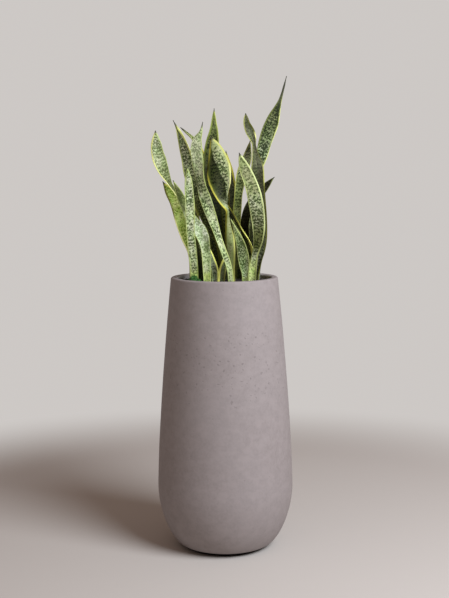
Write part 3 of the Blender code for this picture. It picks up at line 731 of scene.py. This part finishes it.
def outer_line():
    """Points (radius, height) of the planter's outside, from the foot up."""
    foot = [BELLY_HEIGHT * (i / FOOT_STEPS) ** FOOT_CROWDING for i in range(FOOT_STEPS)]
    taper = np.linspace(BELLY_HEIGHT, HEIGHT, TAPER_STEPS + 1)
    return np.array([(outer_radius(h), h) for h in (*foot, *taper)])


def inset(line, depth):
    """The line moved inwards by a depth, square to the wall."""
    along = np.gradient(line, axis=0)
    along /= np.linalg.norm(along, axis=1, keepdims=True)
    return line + depth * np.stack([-along[:, 1], along[:, 0]], axis=1)


def cut_line(line, low, high):
    """The stretch of a rising line between two heights, with its ends on the line."""
    kept = [tuple(p) for p in line if low < p[1] < high]
    ends = [(float(np.interp(h, line[:, 1], line[:, 0])), h) for h in (low, high)]
    return [ends[0], *kept, ends[1]]


def arc(centre, radius, start, stop, steps):
    angles = np.radians(np.linspace(start, stop, steps + 1))
    return [(centre[0] + radius * math.cos(a), centre[1] + radius * math.sin(a)) for a in angles]


def add_piece(name, mesh, finish, slot, *nodes):
    """Adds a piece that rides with the part and stands for these nodes, if any."""
    obj = bpy.data.objects.new(name, mesh)
    mesh.materials.append(finish)
    bpy.context.scene.collection.objects.link(obj)
    mesh.shade_smooth()
    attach(obj, "root")
    if nodes:
        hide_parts(*nodes)


def turned(name, profile):
    """A mesh of revolution. The profile starts and ends on the axis and runs down its outer side."""
    sheet = bmesh.new()
    line = [sheet.verts.new((radius, 0.0, height)) for radius, height in profile]
    edges = [sheet.edges.new(pair) for pair in zip(line, line[1:])]
    axis = {"axis": (0, 0, 1), "cent": (0, 0, 0)}
    bmesh.ops.spin(sheet, geom=line + edges, angle=math.tau, steps=TURN_STEPS, use_merge=True, **axis)
    bmesh.ops.remove_doubles(sheet, verts=sheet.verts, dist=0.01 * MM)
    bmesh.ops.recalc_face_normals(sheet, faces=sheet.faces)
    mesh = bpy.data.meshes.new(name)
    sheet.to_mesh(mesh)
    sheet.free()
    return mesh


def planter():
    """The shell with its rounded lip. Its wall is a little uneven, and never past its true outline."""
    outside = outer_line()
    inside = inset(outside, WALL)
    rim_in = float(np.interp(HEIGHT, inside[:, 1], inside[:, 0]))
    lip_height = HEIGHT - LIP_ROUNDING
    profile = [(0.0, FLOOR), *cut_line(inside, FLOOR, lip_height - LIP_ROUNDING)]
    profile += arc((rim_in + LIP_ROUNDING, lip_height), LIP_ROUNDING, 180, 90, LIP_STEPS)
    profile += arc((RIM_RADIUS - LIP_ROUNDING, lip_height), LIP_ROUNDING, 90, 0, LIP_STEPS)
    profile += [tuple(p) for p in outside[::-1] if p[1] < lip_height - LIP_ROUNDING]
    profile.append((0.0, 0.0))
    mesh = turned("planter_shell", profile)
    for vert in mesh.vertices:
        if FLOOR < vert.co.z < lip_height:
            out = Vector((vert.co.x, vert.co.y, 0.0)).normalized()
            vert.co -= out * UNEVENNESS * (1 + noise.noise(vert.co / UNEVENNESS_SIZE))
    add_piece("planter_shell", mesh, fibreclay(), "planter_fibreclay", "planter")


def drainage():
    """The part's own layer of granules, with their finish."""
    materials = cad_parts["drainage_layer"].data.materials
    materials.clear()
    materials.append(granules())


def soil_height(x, y, rim):
    """The height of the soil's surface, with its crown, bumps and heaps."""
    reach = min(math.hypot(x, y) / rim, 1.0)
    bumps = SOIL_BUMPS * noise.fractal(Vector((x, y, 0.0)) / SOIL_BUMP_SIZE, *SOIL_FRACTAL)
    for at_x, at_y, radius, rise in HEAPS:
        bumps += rise * math.exp(-((x - at_x) ** 2 + (y - at_y) ** 2) / radius**2)
    return HEIGHT - SOIL_EDGE + SOIL_CROWN * (1 - reach * reach) + bumps


def soil():
    """The bed of soil on the drainage layer, with its bumps and heaps, and loose crumbs on it."""
    edge = HEIGHT - SOIL_EDGE
    wall = cut_line(inset(outer_line(), WALL + GAP), DRAINAGE_TOP + GAP, edge)
    rim = wall[-1][0]
    top = [(rim * (i / CROWN_STEPS), edge) for i in range(CROWN_STEPS)]
    mesh = turned("soil_bed", [*top, *wall[::-1], (0.0, DRAINAGE_TOP + GAP)])
    for vert in mesh.vertices:
        if vert.co.z > edge - MM:
            vert.co.z = soil_height(vert.co.x, vert.co.y, rim)
    finish = earth()
    add_piece("soil_bed", mesh, finish, "potting_soil", "potting_soil")
    crumbs(rim, finish)


def small_shape(make, **sizes):
    shape = bmesh.new()
    make(shape, **sizes)
    bmesh.ops.triangulate(shape, faces=shape.faces)
    shape.verts.index_update()
    return shape


def scatter(name, unit_shape, places):
    """One mesh of many copies of a small shape, each moved by its own 4 by 4 matrix."""
    corners = np.array([(*vert.co, 1.0) for vert in unit_shape.verts])
    faces = np.array([[vert.index for vert in face.verts] for face in unit_shape.faces])
    points = np.einsum("nij,vj->nvi", np.array(places), corners)[..., :3]
    faces = faces + np.arange(len(places))[:, None, None] * len(corners)
    mesh = bpy.data.meshes.new(name)
    mesh.from_pydata(points.reshape(-1, 3).tolist(), [], faces.reshape(-1, 3).tolist())
    return mesh


def crumbs(rim, finish):
    """Loose lumps of soil, most of them small, that lie on the bed and clear of the leaves."""
    rng = np.random.default_rng(FILL_SEED)
    feet = [on_sight_line(*stations[0][:3]) for _, _, _, stations in LEAVES]
    widths = [stations[0][3] * MM for _, _, _, stations in LEAVES]
    smallest, largest = CRUMB_SIZES
    lump = small_shape(bmesh.ops.create_icosphere, subdivisions=1, radius=1.0)
    for vert in lump.verts:
        vert.co *= rng.uniform(*CRUMB_LUMPINESS)
    places = []
    for _ in range(CRUMBS):
        size = smallest + (largest - smallest) * rng.random() ** 3
        reach, turn = (rim - size) * math.sqrt(rng.random()), math.tau * rng.random()
        x, y = reach * math.cos(turn), reach * math.sin(turn)
        squash = Matrix.Diagonal((*rng.uniform(*CRUMB_SQUASH, 3) * size, 1.0))
        spin = Matrix.Rotation(math.tau * rng.random(), 4, Vector(rng.normal(size=3)).normalized())
        if min(math.hypot(x - p.x, y - p.y) - w / 2 for p, w in zip(feet, widths)) > LEAF_ROOM:
            seat = Matrix.Translation((x, y, soil_height(x, y, rim) + size * CRUMB_LIFT))
            places.append(seat @ spin @ squash)
    add_piece("soil_crumbs", scatter("soil_crumbs", lump, places), finish, "potting_soil")


def mound_point(way, centre, radius, rise):
    """The point on a mound's lumpy surface in a direction from its centre."""
    lumps = noise.fractal(way * MOUND_LUMP_COUNT + centre * MOUND_LUMP_SHIFT, *MOUND_FRACTAL)
    return centre + Vector((way.x * radius, way.y * radius, way.z * rise)) * (1 + MOUND_LUMPS * lumps)


def moss():
    """Mounds of moss on the soil at a front leaf's foot, covered with short tufts."""
    rng = np.random.default_rng(MOSS_SEED)
    finish = moss_finish()
    cone = {"cap_ends": True, "segments": 4, "radius1": 1.0, "radius2": TUFT_POINT, "depth": 1.0}
    tuft = small_shape(bmesh.ops.create_cone, **cone)
    tufts = []
    for number, (x, y, radius, rise) in enumerate(MOUNDS):
        centre = Vector((x, y, HEIGHT - SOIL_EDGE))
        mound = small_shape(bmesh.ops.create_icosphere, subdivisions=4, radius=1.0)
        for vert in mound.verts:
            vert.co = mound_point(vert.co.copy(), centre, radius, rise)
        mesh = bpy.data.meshes.new("moss")
        mound.to_mesh(mesh)
        add_piece(f"moss_{number + 1}", mesh, finish, "potting_soil")
        for _ in range(TUFTS):
            high, turn = rng.uniform(LOWEST_TUFT, 1.0), math.tau * rng.random()
            flat = math.sqrt(1 - high * high)
            way = Vector((flat * math.cos(turn), flat * math.sin(turn), high))
            lean = (way + Vector(rng.uniform(-TUFT_LEAN, TUFT_LEAN, 3))).normalized()
            length = rng.uniform(*TUFT_LENGTHS)
            foot = mound_point(way, centre, radius, rise)
            stand = Matrix.Translation(foot + lean * length * TUFT_LIFT)
            size = Matrix.Diagonal((TUFT_RADIUS, TUFT_RADIUS, length, 1.0))
            tufts.append(stand @ lean.to_track_quat("Z", "Y").to_matrix().to_4x4() @ size)
    add_piece("moss_tufts", scatter("moss_tufts", tuft, tufts), finish, "potting_soil")


def smooth(keys, values, where):
    """A smooth curve through the values at the keys, read at the places in where."""
    keys, values = np.asarray(keys), np.asarray(values, float)
    slopes = np.gradient(values, keys, axis=0)
    i = np.clip(np.searchsorted(keys, where) - 1, 0, len(keys) - 2)
    span = keys[i + 1] - keys[i]
    t = (where - keys[i]) / span
    shape = (-1,) + (1,) * (values.ndim - 1)
    t, span = t.reshape(shape), span.reshape(shape)
    start = (2 * t**3 - 3 * t**2 + 1) * values[i] + (t**3 - 2 * t**2 + t) * span * slopes[i]
    stop = (3 * t**2 - 2 * t**3) * values[i + 1] + (t**3 - t**2) * span * slopes[i + 1]
    return start + stop


def on_sight_line(across, height, depth):
    """The point at this depth that the eye sees at (across, height) on the plane through the axis."""
    drawn = Vector((across * MM, 0.0, HEIGHT + height * MM))
    opened = depth * MM * (1 + SPLAY * max(height, 0.0) * MM)
    return EYE + (drawn - EYE) * (1 - opened / EYE.y)


def leaf_line(stations):
    """Keys along a leaf and, at each, its middle point, width and turn, from the buried foot up."""
    points = [on_sight_line(*row[:3]) for row in stations]
    points.insert(0, points[0] - Vector((0.0, 0.0, BURIED)))
    points = np.array(points)
    steps = np.linalg.norm(np.diff(points, axis=0), axis=1)
    keys = np.concatenate([[0.0], np.cumsum(steps)])
    widths = [stations[0][3] * MM, *(row[3] * MM for row in stations)]
    turns = [stations[0][4], *(row[4] for row in stations)]
    return keys, points, widths, turns


def unit(vectors):
    return vectors / np.maximum(np.linalg.norm(vectors, axis=-1, keepdims=True), 1e-12)


def leaf_axes(keys, points, turns, where):
    """The middle line's points and, at each, the directions across the leaf and out of its face."""
    middle = smooth(keys, points, where)
    ahead = smooth(keys, points, np.minimum(where + MM, keys[-1]))
    along = unit(ahead - smooth(keys, points, np.maximum(where - MM, 0.0)))
    turn = np.radians(smooth(keys, turns, where))
    across = np.stack([np.cos(turn), np.sin(turn), np.zeros(len(where))], axis=1)
    across = unit(across - along * (across * along).sum(1, keepdims=True))
    return middle, across, np.cross(across, along)


def wrapped(sheet, thick):
    """A ring of points round each row of a sheet of this thickness."""
    out = unit(np.cross(np.gradient(sheet, axis=1), np.gradient(sheet, axis=0)))
    shell = out * (thick / 2)[..., None]
    edge = unit(np.gradient(sheet, axis=1))[:, [0, -1]] * (thick[:, [0, -1], None] / 2)
    left, right = sheet[:, :1] - edge[:, :1], sheet[:, -1:] + edge[:, 1:]
    return np.concatenate([left, sheet + shell, right, (sheet - shell)[:, ::-1]], axis=1)


def ring_mesh(name, rings):
    """A closed mesh through rings of points, with a cap at each end."""
    rows, count = rings.shape[:2]
    base = np.arange(rows - 1)[:, None] * count
    here, after = base + np.arange(count), base + (np.arange(count) + 1) % count
    faces = np.stack([here, after, after + count, here + count], axis=-1).reshape(-1, 4).tolist()
    faces += [list(range(count))[::-1], list(range((rows - 1) * count, rows * count))]
    mesh = bpy.data.meshes.new(name)
    mesh.from_pydata(rings.reshape(-1, 3).tolist(), [], faces)
    return mesh


def write_attribute(mesh, name, kind, values):
    field = "vector" if kind == "FLOAT_VECTOR" else "value"
    layer = mesh.attributes.new(name, kind, "POINT")
    layer.data.foreach_set(field, np.ascontiguousarray(values, np.float32).ravel())


def blade(name, channel, stations):
    """A leaf's closed mesh. Its attributes give across, along and half width, and how far the tip is."""
    keys, points, widths, turns = leaf_line(stations)
    where = np.linspace(0.0, keys[-1], round(keys[-1] / ROW_LENGTH) + 1)
    middle, across, facing = leaf_axes(keys, points, turns, where)
    width = np.maximum(smooth(keys, widths, where), TIP_WIDTH)[:, None]
    where = where[:, None]
    side = np.sin(np.linspace(-math.pi / 2, math.pi / 2, COLUMNS + 1))[None, :]

    foot, open_channel = np.radians(channel)
    fade = np.clip((where - BURIED) / CHANNEL_FADE, 0.0, 1.0)
    bend = foot + (open_channel - foot) * fade * fade * (3 - 2 * fade)
    hollow, bend = np.sign(bend), np.abs(bend)
    angle = side * bend / 2
    radius = width / 2 / np.sin(np.minimum(bend, math.pi) / 2)
    phase = math.tau * where / RIPPLE_LENGTH + RIPPLE_SHIFT * side + RIPPLE_START * len(stations)
    ripple = RIPPLE * fade * np.abs(side) ** 3 * np.sin(phase)
    ripple = ripple * np.minimum(1.0, width / FULL_RIPPLE_WIDTH)
    lift = hollow * radius * (1 - np.cos(angle)) + ripple
    sheet = middle[:, None] + across[:, None] * (radius * np.sin(angle))[..., None]
    sheet = sheet + facing[:, None] * lift[..., None]

    thick = MARGIN_THICKNESS + (MIDRIB_THICKNESS - MARGIN_THICKNESS) * (1 - side * side)
    thick = thick * (1 + (FOOT_THICKENING - 1) * (1 - fade))
    thick = thick * np.minimum(1.0, width / FULL_THICKNESS_WIDTH) ** 0.5
    mesh = ring_mesh(name, wrapped(sheet, thick))

    half = radius * bend / 2
    drawn = np.concatenate([-half, side * half, half, (side * half)[:, ::-1]], axis=1)
    spot = np.stack(np.broadcast_arrays(drawn, where - BURIED, half), axis=-1)
    write_attribute(mesh, "leaf_place", "FLOAT_VECTOR", spot)
    write_attribute(mesh, "to_tip", "FLOAT", np.broadcast_to(keys[-1] - where, drawn.shape))
    return mesh


def leaves():
    """The finer blades, each in place of its node and with its own look."""
    for seed, (name, foot, open_channel, stations) in enumerate(LEAVES):
        mesh = blade(name + "_blade", (foot, open_channel), stations)
        add_piece(name + "_blade", mesh, leaf_finish(name, seed), "snake_leaf", name)


def floor():
    """A pale floor that fades into the background."""
    circle = {"vertices": FLOOR_CORNERS, "radius": FLOOR_RADIUS, "fill_type": "NGON"}
    bpy.ops.mesh.primitive_circle_add(location=(0, 0, -FLOOR_DROP), **circle)
    disc = bpy.context.object
    disc.name = "studio_floor"
    look = Look("studio_floor")
    x, y, _ = look.parts(look.place())
    paint = look.node("BsdfDiffuse", {"Color": FLOOR_PAINT})
    glow = look.node("Emission", {"Color": BACKGROUND, "Strength": 1.0})
    far = look.step(look.length(x, y), *FLOOR_FADE)
    mixed = look.node("MixShader", {0: far, 1: paint, 2: glow})
    look.tree.links.new(mixed, look.tree.nodes["Material Output"].inputs["Surface"])
    disc.data.materials.append(look.material)


def surroundings():
    """An even fill light, behind a background of its own colour."""
    world = bpy.data.worlds.new("studio")
    world.use_nodes = True
    bpy.context.scene.world = world
    nodes, links = world.node_tree.nodes, world.node_tree.links
    fill = nodes["Background"]
    fill.inputs["Color"].default_value = (*FILL_LIGHT, 1.0)
    seen = nodes.new("ShaderNodeBackground")
    seen.inputs["Color"].default_value = (*BACKGROUND, 1.0)
    path = nodes.new("ShaderNodeLightPath")
    choice = nodes.new("ShaderNodeMixShader")
    links.new(path.outputs["Is Camera Ray"], choice.inputs[0])
    links.new(fill.outputs[0], choice.inputs[1])
    links.new(seen.outputs[0], choice.inputs[2])
    links.new(choice.outputs[0], nodes["World Output"].inputs["Surface"])


def key_light():
    """A large soft light from the front right."""
    key = bpy.data.objects.new("key_light", bpy.data.lights.new("key_light", "AREA"))
    bpy.context.scene.collection.objects.link(key)
    key.data.shape, key.data.size = "DISK", KEY_SIZE
    key.data.energy, key.data.color = KEY_WATTS, KEY_COLOUR
    turn, rise = math.radians(KEY_TURN), math.radians(KEY_RISE)
    way = Vector((math.sin(turn) * math.cos(rise), -math.cos(turn) * math.cos(rise), math.sin(rise)))
    key.location = Vector((0.0, 0.0, KEY_AIM)) + way * KEY_REACH
    key.rotation_euler = way.to_track_quat("Z", "Y").to_euler()


def camera():
    """The camera that was fitted to the photograph."""
    data = bpy.data.cameras.new("camera")
    data.sensor_width = SENSOR
    data.lens = FOCAL_PIXELS / PHOTO_HEIGHT * SENSOR
    made = bpy.data.objects.new("camera", data)
    bpy.context.scene.collection.objects.link(made)
    tilt = Matrix.Rotation(math.radians(90 - PITCH), 4, "X") @ Matrix.Rotation(math.radians(ROLL), 4, "Z")
    made.matrix_world = Matrix.Translation(EYE) @ tilt
    bpy.context.scene.camera = made


def main():
    bpy.context.scene.view_settings.view_transform = "Standard"
    camera()
    floor()
    surroundings()
    key_light()
    planter()
    drainage()
    soil()
    moss()
    leaves()


main()
